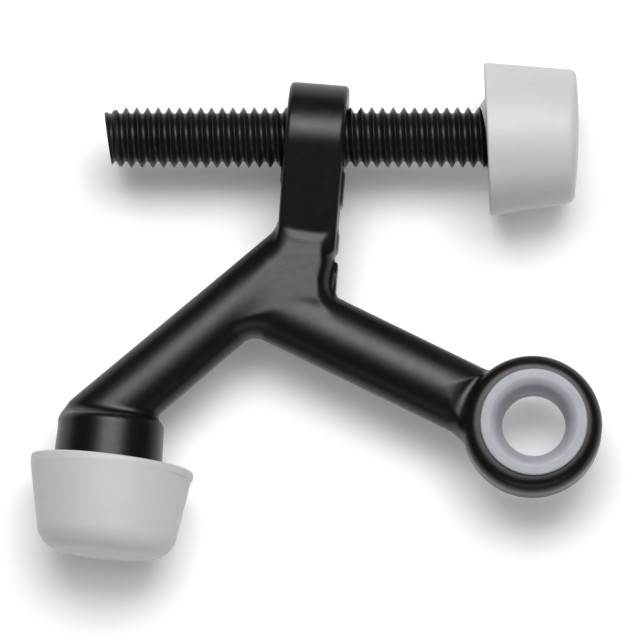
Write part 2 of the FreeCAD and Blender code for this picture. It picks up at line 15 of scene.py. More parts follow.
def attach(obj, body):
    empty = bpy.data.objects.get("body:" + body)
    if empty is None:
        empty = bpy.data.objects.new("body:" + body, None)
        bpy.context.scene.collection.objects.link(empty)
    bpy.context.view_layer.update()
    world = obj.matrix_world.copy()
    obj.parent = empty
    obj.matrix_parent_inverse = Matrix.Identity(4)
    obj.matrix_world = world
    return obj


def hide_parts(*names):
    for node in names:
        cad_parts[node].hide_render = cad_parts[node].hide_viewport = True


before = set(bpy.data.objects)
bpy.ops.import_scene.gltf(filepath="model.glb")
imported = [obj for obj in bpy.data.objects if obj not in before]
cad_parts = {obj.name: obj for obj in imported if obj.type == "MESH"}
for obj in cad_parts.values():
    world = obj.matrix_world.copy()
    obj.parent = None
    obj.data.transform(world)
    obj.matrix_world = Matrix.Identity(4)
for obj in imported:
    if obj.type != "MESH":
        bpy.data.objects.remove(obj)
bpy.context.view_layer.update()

MM = 0.001

# the eye and its bushes
EYE, EYE_RADIUS, EYE_HALF, EYE_ROUND = (-0.17, -0.11), 9.13, 4.0, 1.9
SEAT_RADIUS = 5.6
BUSH_FIT, BUSH_GAP = 0.02, 0.05
FLANGE_RADIUS, FLANGE_THICK, FLANGE_ROUND = 7.0, 0.7, 0.2
BORE_RADIUS, LAND_HALF, MOUTH_RADIUS, MOUTH_ROUND = 4.16, 1.3, 6.0, 1.3

# the threaded rod
PITCH = 25.4 / 18
HELIX_START, ROD_Y, ROD_END_X = -59.122, 38.42, -56.65
CREST, ROOT, ROOT_FLAT, FLANK = 3.97, 3.20, 0.37, math.radians(30)
NOSE_SLOPE, NOSE_RADIUS, END_SKEW = math.radians(14), 3.3, math.radians(8)
HEAD_RADIUS, HEAD_THICK, HEAD_X, HEAD_ROUND = 6.0, 2.0, 0.4, 0.4

# the rubber tip on the rod
TIP_BACK, TIP_LEAN, TIP_LENGTH = (-6.14, ROD_Y - 0.24), math.radians(2.3), 12.0
TIP_RIM, TIP_FRONT, TIP_DOME_RADIUS = 10.13, 8.67, 79.0
TIP_APEX = (5.96, ROD_Y + 1.25)
TIP_ROUND, TIP_RIM_ROUND = 0.85, 0.35
LIP, LIP_HEIGHT, LIP_FOOT, LIP_MOUTH = (ROD_Y + 0.62, -0.5), 0.85, 4.7, 3.6
SWIVEL = 0.08

# the lug and the limbs of the casting
LUG_X, LUG_WIDTH, LUG_RADIUS = -28.7, 7.75, 7.1
LUG_LEAN, LUG_FLANK, LUG_REACH, LUG_ROUND = math.radians(4.7), math.radians(17.2), 15.5, 0.6
JOINT = (-37.4, 17.5)
DEPTH = 6.9
# start and end along the limb, and the widths there
EYE_ARM = (math.radians(-26.1), 0.0, 33.5, 9.4, 9.4)
FOOT_ARM = (math.radians(220.6), -10.6, 29.9, 8.55, 9.2)
FOOT_ARM_ROUND = 3.2
NECK_TOP, NECK_BOTTOM, NECK_ROUND = -12.2, -23.8, 2.2
PAD_WIDTH = 3.4
# side, middle below the rod's axis, length and height of each pad
PADS = ((1, 6.75, 4.6, 0.38), (1, 13.9, 2.4, 0.28), (1, 18.9, 4.6, 0.5), (-1, 5.5, 2.4, 0.28))

# fillets where the parts of the casting meet, and the tapped hole's gap round the rod
LIMB_FILLET, NECK_FILLET, LUG_FILLET, BOSS_FILLET, EYE_FILLET = 1.3, 1.1, 0.6, 1.2, 1.3
TAP_FIT = 0.09

# the foot boss and the cavity of the rubber foot
FOOT, FOOT_LEAN = (-55.93, -5.13), math.radians(4.9)
BOSS_TOP, BOSS_TOP_R, BOSS_BASE_R, BOSS_ROUND, BOSS_RECESS = 6.3, 6.9, 7.2, 1.1, 0.8
STUD_R, STUD_LENGTH, BEAD_R, BEAD_HEIGHT, BEAD_LIFT, FOOT_FIT = 3.6, 6.6, 4.4, 1.6, 0.8, 0.02

# the outside of the rubber foot
RIM, RIM_LEAN, RIM_RADIUS, RIM_HEIGHT = (-55.265, -4.93), math.radians(6.7), 10.72, 1.3
SKIRT, SKIRT_LEAN, SKIRT_RADIUS = (-55.4, -5.88), math.radians(3.8), 10.63
SKIRT_TAPER = math.radians(10)
SOLE_LEAN, SOLE_DEPTH, SOLE_DOME_RADIUS = math.radians(5.5), 12.5, 44.0
RIM_SHIFT, RIM_ROUND, RIM_FILLET, SOLE_ROUND = 0.25, 0.45, 0.08, 2.2
SKIRT_PROUD, SKIRT_TOP_ROUND = 0.04, 0.3


# ---------------------------------------------------------------- distance field helpers

def turned_axes(x, y, angle):
    """x and y read along and across a direction."""
    c, s = math.cos(angle), math.sin(angle)
    return x * c + y * s, y * c - x * s


def rounded_corner(a, b, radius):
    """Where both a and b are negative, with the corner between them rounded."""
    p, q = a + radius, b + radius
    return (np.minimum(np.maximum(p, q), 0)
            + np.hypot(np.maximum(p, 0), np.maximum(q, 0)) - radius)


def join(a, b, radius):
    """The union of two fields with a fillet of that radius between them."""
    p, q = np.maximum(radius - a, 0), np.maximum(radius - b, 0)
    return np.maximum(radius, np.minimum(a, b)) - np.hypot(p, q)


def ellipse(u, v, a, b):
    """Nearly the distance to an ellipse with half axes a and b."""
    k = np.hypot(u / a, v / b)
    slope = np.hypot(u / a ** 2, v / b ** 2)
    return k * (k - 1) / np.maximum(slope, 1e-6)


def limb_plan(x, y, spec, end_round):
    """A limb's outline seen along the hinge pin: distance to it, and its half width."""
    angle, start, end, first, last = spec
    along, across = turned_axes(x - JOINT[0], y - JOINT[1], angle)
    half = (first + (last - first) * np.clip((along - start) / (end - start), 0, 1)) / 2
    side = rounded_corner(np.abs(across) - half, along - end, end_round)
    return np.maximum(side, start - along), half


def limbs_field(x, y, z, across, up):
    """Both limbs and the neck as one rounded shape: a joined outline, then an oval section."""
    foot, foot_half = limb_plan(x, y, FOOT_ARM, FOOT_ARM_ROUND)
    eye, eye_half = limb_plan(x, y, EYE_ARM, 1.0)
    neck = np.maximum(np.abs(across) - LUG_WIDTH / 2,
                      np.maximum(NECK_BOTTOM - up, up - NECK_TOP))
    plan = join(join(foot, eye, LIMB_FILLET), neck, NECK_FILLET)
    total, half = 0, 0
    for distance, part_half in ((foot, foot_half), (eye, eye_half), (neck, NECK_ROUND)):
        weight = np.exp(-np.clip(distance, -9, 9))
        total, half = total + weight, half + weight * part_half
    half = half / total
    return ellipse(np.maximum(half + plan, 0), z, half, DEPTH / 2)


def lug_field(across, up, z):
    """The disc round the rod and its taper down to the neck."""
    height = np.abs(z)
    disc = np.hypot(up, height) - LUG_RADIUS
    flank = -up * math.sin(LUG_FLANK) + height * math.cos(LUG_FLANK) - LUG_RADIUS
    below = -up * math.cos(LUG_FLANK) - height * math.sin(LUG_FLANK) > 0
    drop = np.maximum(np.where(below, flank, disc), -up - LUG_REACH)
    return rounded_corner(drop, np.abs(across) - LUG_WIDTH / 2, LUG_ROUND)


def with_pads(body, across, up, height):
    """The low raised pads on the sides of the lug and neck added to a field."""
    for side, middle, length, rise in PADS:
        out = side * across - LUG_WIDTH / 2 - rise
        face = rounded_corner(np.abs(up + middle) - length / 2, height - PAD_WIDTH / 2, 0.6)
        block = rounded_corner(np.maximum(out, -side * across), face, 0.3)
        body = join(body, block, 0.5)
    return body


def foot_boss_field(side, down, z):
    """The boss and the beaded stud under it, on their own axis."""
    ring = np.hypot(side, z)
    total = BOSS_TOP + BOSS_RECESS
    taper = BOSS_BASE_R + (BOSS_TOP_R - BOSS_BASE_R) * (down + BOSS_RECESS) / total
    boss = rounded_corner(ring - taper, down - BOSS_TOP, BOSS_ROUND)
    boss = np.maximum(boss, -down - BOSS_RECESS)
    stud_end = -BOSS_RECESS - STUD_LENGTH
    stud = rounded_corner(ring - STUD_R, np.maximum(stud_end - down, down), 0.15)
    bead_low = stud_end + BEAD_LIFT
    bead = rounded_corner(ring - BEAD_R,
                          np.maximum(bead_low - down, down - bead_low - BEAD_HEIGHT), 0.3)
    return boss, np.minimum(stud, bead)


def casting_field(x, y, z):
    """Distance to the casting's surface, negative inside, in millimetres."""
    across, up = turned_axes(x - LUG_X, y - ROD_Y, -LUG_LEAN)
    body = join(limbs_field(x, y, z, across, up), lug_field(across, up, z), LUG_FILLET)
    body = with_pads(body, across, up, np.abs(z))
    side, down = turned_axes(x - FOOT[0], y - FOOT[1], -FOOT_LEAN)
    boss, stud = foot_boss_field(side, down, z)
    body = np.minimum(join(body, boss, BOSS_FILLET), stud)
    eye = rounded_corner(np.hypot(x - EYE[0], y - EYE[1]) - EYE_RADIUS, np.abs(z) - EYE_HALF,
                         EYE_ROUND)
    # the fillet is smaller above the arm than below it
    off_arm = turned_axes(x - JOINT[0], y - JOINT[1], EYE_ARM[0])[1]
    body = join(body, eye, EYE_FILLET - 0.6 * np.clip(off_arm / 3, -1, 1))
    body = np.maximum(body, SEAT_RADIUS - np.hypot(x, y))
    return np.maximum(body, CREST + TAP_FIT - np.hypot(y - ROD_Y, z))


def rod_tip_field(x, y, z):
    """The rod tip's outside: a leaning cone, a domed front, a flat back and a low lip."""
    along, off = turned_axes(x - TIP_BACK[0], y - TIP_BACK[1], TIP_LEAN)
    taper = math.atan2(TIP_RIM - TIP_FRONT, TIP_LENGTH)
    cone = (np.hypot(off, z) - TIP_RIM) * math.cos(taper) + along * math.sin(taper)
    dome = np.sqrt((x - TIP_APEX[0] + TIP_DOME_RADIUS) ** 2 + (y - TIP_APEX[1]) ** 2
                   + z ** 2) - TIP_DOME_RADIUS
    body = rounded_corner(rounded_corner(cone, dome, TIP_ROUND), -along, TIP_RIM_ROUND)
    slope = math.atan2(LIP_FOOT - LIP_MOUTH, LIP_HEIGHT)
    lip = np.hypot(y - LIP[0], z - LIP[1]) - LIP_FOOT
    lip = np.maximum(lip * math.cos(slope) - along * math.sin(slope), along - 1)
    return join(body, rounded_corner(lip, -along - LIP_HEIGHT, 0.15), 0.2)


def foot_tip_field(x, y, z):
    """The rubber foot's outside: a tapered skirt, a domed sole and a rim off to one side.

    The skirt covers most of the rim, so only a bead of it shows, on the side towards the eye.
    """
    side, top = turned_axes(x - RIM[0], y - RIM[1], -RIM_LEAN)
    rim = rounded_corner(np.hypot(side - RIM_SHIFT, z) + RIM_SHIFT - RIM_RADIUS,
                         np.maximum(top, -top - RIM_HEIGHT), RIM_ROUND)
    side, up = turned_axes(x - SKIRT[0], y - SKIRT[1], -SKIRT_LEAN)
    off = np.hypot(side, z) - SKIRT_RADIUS
    skirt = np.maximum(off * math.cos(SKIRT_TAPER) - up * math.sin(SKIRT_TAPER),
                       off - SKIRT_PROUD)
    middle = SOLE_DOME_RADIUS - SOLE_DEPTH
    ball = np.sqrt((x - RIM[0] - middle * math.sin(SOLE_LEAN)) ** 2
                   + (y - RIM[1] - middle * math.cos(SOLE_LEAN)) ** 2 + z ** 2)
    skirt = rounded_corner(skirt, ball - SOLE_DOME_RADIUS, SOLE_ROUND)
    return join(rim, rounded_corner(skirt, top, SKIRT_TOP_ROUND), RIM_FILLET)


def surface_net(field, low, high, step, rounds=3):
    """A quad mesh of field = 0 in a box, with its vertices moved onto the surface."""
    counts = [int(math.ceil((b - a) / step)) + 1 for a, b in zip(low, high)]
    axes = [a + step * np.arange(n) for a, n in zip(low, counts)]
    values = np.empty(counts)
    for i, x in enumerate(axes[0]):
        yy, zz = np.meshgrid(axes[1], axes[2], indexing="ij")
        values[i] = field(np.full(yy.shape, x), yy, zz)
    inside = values < 0

    cells = tuple(n - 1 for n in counts)
    total, hits = np.zeros(cells + (3,)), np.zeros(cells)
    for axis in range(3):
        lower = [slice(None)] * 3
        upper = [slice(None)] * 3
        lower[axis], upper[axis] = slice(0, -1), slice(1, None)
        a, b = values[tuple(lower)], values[tuple(upper)]
        crossed = inside[tuple(lower)] != inside[tuple(upper)]
        with np.errstate(divide="ignore", invalid="ignore"):
            part = np.where(crossed, a / (a - b), 0)
        others = [k for k in range(3) if k != axis]
        for first in (0, 1):
            for second in (0, 1):
                pick = [slice(None)] * 3
                pick[others[0]] = slice(first, first + cells[others[0]])
                pick[others[1]] = slice(second, second + cells[others[1]])
                pick = tuple(pick)
                here = crossed[pick]
                hits += here
                total[..., axis] += np.where(here, part[pick], 0)
                total[..., others[0]] += here * first
                total[..., others[1]] += here * second
    active = hits > 0
    index = np.full(cells, -1)
    index[active] = np.arange(active.sum())
    origin = np.stack(np.nonzero(active), axis=1)
    points = (origin + total[active] / hits[active][:, None]) * step + np.array(low)

    faces = []
    for axis in range(3):
        lower = [slice(None)] * 3
        upper = [slice(None)] * 3
        lower[axis], upper[axis] = slice(0, -1), slice(1, None)
        a, b = inside[tuple(lower)], inside[tuple(upper)]
        one, two = (axis + 1) % 3, (axis + 2) % 3
        where = np.stack(np.nonzero(a != b), axis=1)
        where = where[(where[:, one] > 0) & (where[:, two] > 0)]
        where = where[(where[:, one] < cells[one]) & (where[:, two] < cells[two])]
        corner = []
        for d_one, d_two in ((-1, -1), (0, -1), (0, 0), (-1, 0)):
            cell = where.copy()
            cell[:, one] += d_one
            cell[:, two] += d_two
            corner.append(index[cell[:, 0], cell[:, 1], cell[:, 2]])
        quad = np.stack(corner, axis=1)
        outward = a[where[:, 0], where[:, 1], where[:, 2]]
        quad[~outward] = quad[~outward][:, ::-1]
        faces.append(quad)
    faces = np.concatenate(faces)

    links = np.concatenate([faces[:, [0, 1]], faces[:, [1, 2]], faces[:, [2, 3]], faces[:, [3, 0]]])
    count = (np.bincount(links[:, 0], minlength=len(points))
             + np.bincount(links[:, 1], minlength=len(points)))
    points = settled(field, points, step)
    for _ in range(rounds):
        mean = np.zeros_like(points)
        for axis in range(3):
            mean[:, axis] = (np.bincount(links[:, 0], points[links[:, 1], axis], len(points))
                             + np.bincount(links[:, 1], points[links[:, 0], axis], len(points)))
        mean /= count[:, None]
        points = settled(field, points + 0.5 * (mean - points), step)
    return points, faces


def field_and_slope(field, p, eps=0.01):
    """The field and its gradient at some points."""
    x, y, z = p.T
    slope = np.stack([field(x + eps, y, z) - field(x - eps, y, z),
                      field(x, y + eps, z) - field(x, y - eps, z),
                      field(x, y, z + eps) - field(x, y, z - eps)], axis=1) / (2 * eps)
    return field(x, y, z), slope


def settled(field, points, step, rounds=3):
    """The points moved onto the surface where field = 0."""
    for _ in range(rounds):
        value, slope = field_and_slope(field, points)
        move = value[:, None] * slope / np.maximum((slope ** 2).sum(1), 0.2)[:, None]
        length = np.linalg.norm(move, axis=1, keepdims=True)
        points = points - move * np.minimum(1, 0.5 * step / np.maximum(length, 1e-9))
    return points


# -------------------------------------------------------------------------- mesh helpers

def convexity(mesh):
    """How convex the mesh is at each vertex, in 1/mm, for edge wear."""
    count = len(mesh.vertices)
    place, normal = np.empty(3 * count), np.empty(3 * count)
    ends = np.empty(2 * len(mesh.edges), dtype=np.int64)
    mesh.vertices.foreach_get("co", place)
    mesh.vertex_normals.foreach_get("vector", normal)
    mesh.edges.foreach_get("vertices", ends)
    place, normal, (a, b) = place.reshape(-1, 3) / MM, normal.reshape(-1, 3), ends.reshape(-1, 2).T
    gap = place[a] - place[b]
    square = np.maximum((gap ** 2).sum(1), 1e-6)
    links = np.bincount(a, minlength=count) + np.bincount(b, minlength=count)
    bend = (np.bincount(a, 2 * (normal[a] * gap).sum(1) / square, count)
            - np.bincount(b, 2 * (normal[b] * gap).sum(1) / square, count)) / links
    return (bend + (np.bincount(a, bend[b], count) + np.bincount(b, bend[a], count)) / links) / 2


def new_piece(name, points, faces, body, node, material):
    """A smooth-shaded object from points in millimetres, tied to the CAD frame."""
    mesh = bpy.data.meshes.new(name)
    mesh.from_pydata((np.asarray(points) * MM).tolist(), [], [list(map(int, f)) for f in faces])
    mesh.shade_smooth()
    mesh.set_sharp_from_angle(angle=math.radians(50))
    layer = mesh.attributes.new("edge", "FLOAT", "POINT")
    layer.data.foreach_set("value", convexity(mesh).astype(np.float32))
    mesh.materials.append(material)
    piece = bpy.data.objects.new(name, mesh)
    bpy.context.scene.collection.objects.link(piece)
    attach(piece, body)
    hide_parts(node)


def rounded_outline(corners, closed=True, step=0.12):
    """Points along an outline. Each corner is (along, radius) or (along, radius, rounding)."""
    n = len(corners)
    result = []
    for i, corner in enumerate(corners):
        point = np.array(corner[:2], dtype=float)
        rounding = corner[2] if len(corner) > 2 else 0
        if not rounding or (not closed and i in (0, n - 1)):
            result.append(point)
            continue
        before = np.array(corners[i - 1][:2], dtype=float) - point
        after = np.array(corners[(i + 1) % n][:2], dtype=float) - point
        before /= np.linalg.norm(before)
        after /= np.linalg.norm(after)
        half = math.acos(max(-1, min(1, before @ after))) / 2
        centre = point + (before + after) / np.linalg.norm(before + after) * rounding / math.sin(half)
        first = point + before * rounding / math.tan(half) - centre
        last = point + after * rounding / math.tan(half) - centre
        sweep = math.pi - 2 * half
        turn = math.copysign(1, first[0] * last[1] - first[1] * last[0])
        steps = max(3, int(math.ceil(sweep * rounding / step)))
        for k in range(steps + 1):
            a = turn * sweep * k / steps
            c, s = math.cos(a), math.sin(a)
            result.append(centre + np.array([first[0] * c - first[1] * s, first[0] * s + first[1] * c]))
    return result


def spread(outline, longest=0.4, closed=True):
    """The same outline with points added on its long runs."""
    result = []
    for a, b in zip(outline, outline[1:] + (outline[:1] if closed else [])):
        steps = max(1, int(math.ceil(np.linalg.norm(b - a) / longest)))
        result += [a + (b - a) * k / steps for k in range(steps)]
    return result


def ring(along, radius, axes, segments):
    """One circle of points: axes is (origin, direction, sideways, third)."""
    origin, direction, sideways, third = axes
    turn = 2 * math.pi * np.arange(segments) / segments
    return (origin + direction * along
            + radius * (np.cos(turn)[:, None] * sideways + np.sin(turn)[:, None] * third))


def rings_to_mesh(rings, segments, closed):
    """Faces between rings of points; a ring of radius 0 becomes one point at an end."""
    points, rows = [], []
    for r in rings:
        if np.ptp(r, axis=0).max() < 1e-6:
            rows.append([len(points)] * segments)
            points.append(r[0])
        else:
            rows.append(list(range(len(points), len(points) + segments)))
            points.extend(r)
    faces = []
    pairs = list(zip(rows, rows[1:])) + ([(rows[-1], rows[0])] if closed else [])
    for low, high in pairs:
        for i in range(segments):
            j = (i + 1) % segments
            face = [low[i], low[j], high[j], high[i]]
            faces.append([f for k, f in enumerate(face) if f != face[k - 1]])
    return np.array(points), faces


# ------------------------------------------------------------------------------- pieces

def make_casting(material):
    low, high = (-66.0, -14.0, -8.4), (10.5, 46.6, 8.4)
    step = 0.3
    points, faces = surface_net(casting_field, low, high, step)
    new_piece("casting_painted", points, faces, "body", "casting", material)


def make_bush(name, side, material):
    """side is +1 for the upper bush and -1 for the lower one."""
    face = EYE_HALF + FLANGE_THICK
    barrel = SEAT_RADIUS - BUSH_FIT
    mouth, last = [], 9.5
    for k in (*range(8), last):  # the last stretch is longer, to leave room for the rounding
        z = LAND_HALF + (face - LAND_HALF) * k / last
        inset = math.sqrt(MOUTH_RADIUS ** 2 - (z - LAND_HALF) ** 2)
        mouth.append((z, BORE_RADIUS + MOUTH_RADIUS - inset))
    mouth[-1] += (MOUTH_ROUND,)
    outline = rounded_outline([(BUSH_GAP, BORE_RADIUS)] + mouth
                              + [(face, FLANGE_RADIUS, FLANGE_ROUND),
                                 (EYE_HALF, FLANGE_RADIUS, 0.06), (EYE_HALF, barrel),
                                 (BUSH_GAP, barrel, 0.3)], step=0.05)
    segments = 144
    axes = (np.zeros(3), np.array([0, 0, float(side)]), np.array([1.0, 0, 0]), np.array([0, 1.0, 0]))
    rings = [ring(p[0], p[1], axes, segments) for p in spread(outline)]
    points, faces = rings_to_mesh(rings, segments, True)
    if side > 0:
        faces = [f[::-1] for f in faces]
    new_piece(name + "_nylon", points, faces, "body", name, material)


def thread_radius(x, turn):
    """Radius of the rod's thread at a place along it and round it."""
    middle = HELIX_START + PITCH * (turn / (2 * math.pi) + 0.25)
    off = np.abs((x - middle + PITCH / 2) % PITCH - PITCH / 2)
    thread = np.clip(ROOT + (off - ROOT_FLAT / 2) / math.tan(FLANK), ROOT, CREST)
    return np.minimum(thread, NOSE_RADIUS + (x - ROD_END_X) * math.tan(NOSE_SLOPE))


def thread_stations():
    """Places along one turn of the thread, from groove to groove, with softened corners."""
    root, flank = ROOT_FLAT / 2, (CREST - ROOT) * math.tan(FLANK)
    low, high = root + flank, PITCH - root - flank
    rise = CREST - ROOT
    climb = [(root + flank * t, ROOT + rise * t) for t in (0.14, 0.4, 0.7)]
    crest = [(low - 0.035, CREST - 0.075), (low, CREST - 0.022), (low + 0.05, CREST),
             (high - 0.05, CREST), (high, CREST - 0.022), (high + 0.035, CREST - 0.075)]
    fall = [(high + flank * t, CREST - rise * t) for t in (0.3, 0.6, 0.86)]
    return ([(-root + 0.07, ROOT), (0.0, ROOT), (root - 0.07, ROOT), (root, ROOT + 0.03)]
            + climb + crest + fall + [(PITCH - root, ROOT + 0.03)])


def make_rod(material):
    """A screw grid whose rows follow the thread, closed by a sawn end and a flat head."""
    segments = 72
    turn = 2 * math.pi * np.arange(segments) / segments
    head_back = HEAD_X - HEAD_THICK
    stations = thread_stations()
    turns = int(math.ceil((head_back - HELIX_START) / PITCH)) + 2
    rows = np.array([(HELIX_START + PITCH * (t + 0.25) + along, radius)
                     for t in range(-1, turns) for along, radius in stations])
    x = rows[:, :1] + PITCH * turn / (2 * math.pi)
    r = np.minimum(rows[:, 1:], NOSE_RADIUS + (x - ROD_END_X) * math.tan(NOSE_SLOPE))

    end_x = np.full(segments, ROD_END_X)
    for _ in range(8):
        end_r = thread_radius(end_x, turn)
        end_x = ROD_END_X + (NOSE_RADIUS - end_r * np.cos(turn)) * math.tan(END_SKEW)
    margin = 0.02
    before, after = x < end_x + margin, x > head_back - margin
    x = np.where(before, end_x, np.where(after, head_back, x))
    r = np.where(before, end_r, np.where(after, thread_radius(head_back, turn), r))
    points = np.stack([x, ROD_Y + r * np.cos(turn), r * np.sin(turn)], axis=2).reshape(-1, 3)

    faces = []
    for i in range(len(rows) - 1):
        faces += [(i * segments + j, i * segments + j + 1, (i + 1) * segments + j + 1,
                   (i + 1) * segments + j) for j in range(segments - 1)]
        if i + len(stations) + 1 < len(rows):
            low = (i + len(stations)) * segments
            faces.append(((i + 1) * segments - 1, low, low + segments,
                          (i + 2) * segments - 1))

    axes = (np.array([0, ROD_Y, 0.0]), np.array([1.0, 0, 0]), np.array([0, 1.0, 0]),
            np.array([0, 0, 1.0]))
    outline = rounded_outline([(head_back, CREST + 0.3), (head_back, HEAD_RADIUS, HEAD_ROUND),
                               (HEAD_X, HEAD_RADIUS, HEAD_ROUND), (HEAD_X, 0)], closed=False)
    last = points[-segments:]
    head, head_faces = rings_to_mesh([last] + [ring(p[0], p[1], axes, segments) for p in outline],
                                     segments, False)
    faces += [tuple(k + len(points) for k in face) for face in head_faces]
    points = np.concatenate([points, head])
    middle = np.array([ROD_END_X + NOSE_RADIUS * math.tan(END_SKEW), ROD_Y, 0.0])
    first = points[:segments]
    cap, cap_faces = rings_to_mesh([np.tile(middle, (segments, 1)), middle + (first - middle) * 0.9,
                                    first], segments, False)
    faces += [tuple(k + len(points) for k in face) for face in cap_faces]
    points, faces = welded(np.concatenate([points, cap]), faces)
    new_piece("threaded_rod_steel", points, faces, "rod", "threaded_rod", material)


def welded(points, faces, step=0.002):
    """The mesh with points at one place made one, and faces without area left out."""
    keys = np.round(points / step).astype(np.int64)
    _, first, index = np.unique(keys, axis=0, return_index=True, return_inverse=True)
    index = index.reshape(-1)
    result = []
    for face in faces:
        face = [int(index[k]) for k in face]
        face = [k for n, k in enumerate(face) if k != face[n - 1]]
        if len(set(face)) > 2:
            result.append(face)
    return points[first], result


def make_rod_tip(material):
    segments = 160
    edge_x = TIP_APEX[0] - TIP_BACK[0] - TIP_FRONT ** 2 / (2 * TIP_DOME_RADIUS)
    dome = [(TIP_APEX[0] - TIP_BACK[0] - (TIP_FRONT * k / 20) ** 2 / (2 * TIP_DOME_RADIUS),
             TIP_FRONT * k / 20) for k in range(17, 0, -1)]
    mouth = CREST + SWIVEL + 0.12
    outer = rounded_outline([(0, mouth + 0.1), (0, TIP_RIM, TIP_RIM_ROUND),
                             (edge_x, TIP_FRONT, TIP_ROUND)] + dome, closed=False, step=0.08)
    outer = spread(outer, closed=False) + [np.array([TIP_APEX[0] - TIP_BACK[0], 0.0])]
    direction = np.array([math.cos(TIP_LEAN), math.sin(TIP_LEAN), 0])
    sideways = np.array([-math.sin(TIP_LEAN), math.cos(TIP_LEAN), 0])
    lean = (np.array([TIP_BACK[0], TIP_BACK[1], 0.0]), direction, sideways, np.array([0, 0, 1.0]))
    rings = [settled(rod_tip_field, ring(p[0], p[1], lean, segments), 2.0, 8) for p in outer]
    throat, pocket = CREST + SWIVEL, HEAD_RADIUS + SWIVEL
    straight = (np.array([0, ROD_Y, 0.0]), np.array([1.0, 0, 0]), np.array([0, 1.0, 0]),
                np.array([0, 0, 1.0]))
    ledge = HEAD_X - HEAD_THICK - SWIVEL
    inner = [ring(a, r, straight, segments) for a, r in (
        (HEAD_X + SWIVEL, 0), (HEAD_X + SWIVEL, pocket), (ledge, pocket), (ledge, throat),
        (TIP_BACK[0] + 0.5, throat))]
    inner.append(mouth_ring(throat, segments))
    points, faces = rings_to_mesh(inner + rings, segments, False)
    new_piece("rod_tip_rubber", points, faces, "tip", "rod_tip", material)


def mouth_ring(radius, segments):
    """Where the rod tip's throat comes out through its back face or its lip."""
    turn = 2 * math.pi * np.arange(segments) / segments
    y, z = ROD_Y + radius * np.cos(turn), radius * np.sin(turn)
    x = np.full(segments, TIP_BACK[0] - LIP_HEIGHT)
    for _ in range(30):
        x = x + rod_tip_field(x, y, z)
    return np.stack([x, y, z], axis=1)


def make_foot_tip(material):
    segments = 168
    third = np.array([0, 0, 1.0])

    def axes(place, lean):
        return (np.array([place[0], place[1], 0.0]),
                np.array([-math.sin(lean), -math.cos(lean), 0]),
                np.array([math.cos(lean), -math.sin(lean), 0]), third)

    sole = SKIRT_RADIUS - (SOLE_DEPTH - 1) * math.tan(SKIRT_TAPER)
    dome = [(SOLE_DEPTH - (sole * k / 20) ** 2 / (2 * SOLE_DOME_RADIUS), sole * k / 20)
            for k in range(15, 0, -1)]
    close_rings = [(RIM_ROUND + 0.1 * k, RIM_RADIUS - 0.1) for k in range(1, 18)]
    sole_edge = (SOLE_DEPTH - sole ** 2 / (2 * SOLE_DOME_RADIUS), sole, SOLE_ROUND)
    outer = rounded_outline([(0, BOSS_BASE_R + 0.4), (0, RIM_RADIUS, RIM_ROUND)] + close_rings
                            + [sole_edge] + dome, closed=False, step=0.08)
    outer = spread(outer, closed=False) + [np.array([SOLE_DEPTH, 0.0])]
    rim_axes, boss_axes = axes(RIM, RIM_LEAN), axes(FOOT, FOOT_LEAN)
    rings = [settled(foot_tip_field, ring(p[0], p[1], rim_axes, segments), 2.0, 8) for p in outer]
    recess, stud_end = BOSS_RECESS + FOOT_FIT, BOSS_RECESS + STUD_LENGTH
    hole, swell, mouth = STUD_R + FOOT_FIT, BEAD_R + FOOT_FIT, BOSS_BASE_R + FOOT_FIT
    bead_low, bead_high = stud_end - BEAD_LIFT, stud_end - BEAD_LIFT - BEAD_HEIGHT
    inner = [ring(a, r, boss_axes, segments) for a, r in (
        (stud_end + FOOT_FIT, 0), (stud_end + FOOT_FIT, hole), (bead_low + FOOT_FIT, hole),
        (bead_low + FOOT_FIT, swell), (bead_high - FOOT_FIT, swell), (bead_high - FOOT_FIT, hole),
        (recess, hole), (recess, mouth), (0.1, mouth))]
    points, faces = rings_to_mesh(inner + rings, segments, False)
    new_piece("foot_tip_rubber", points, faces, "body", "foot_tip", material)


# ---------------------------------------------------------------------------- materials

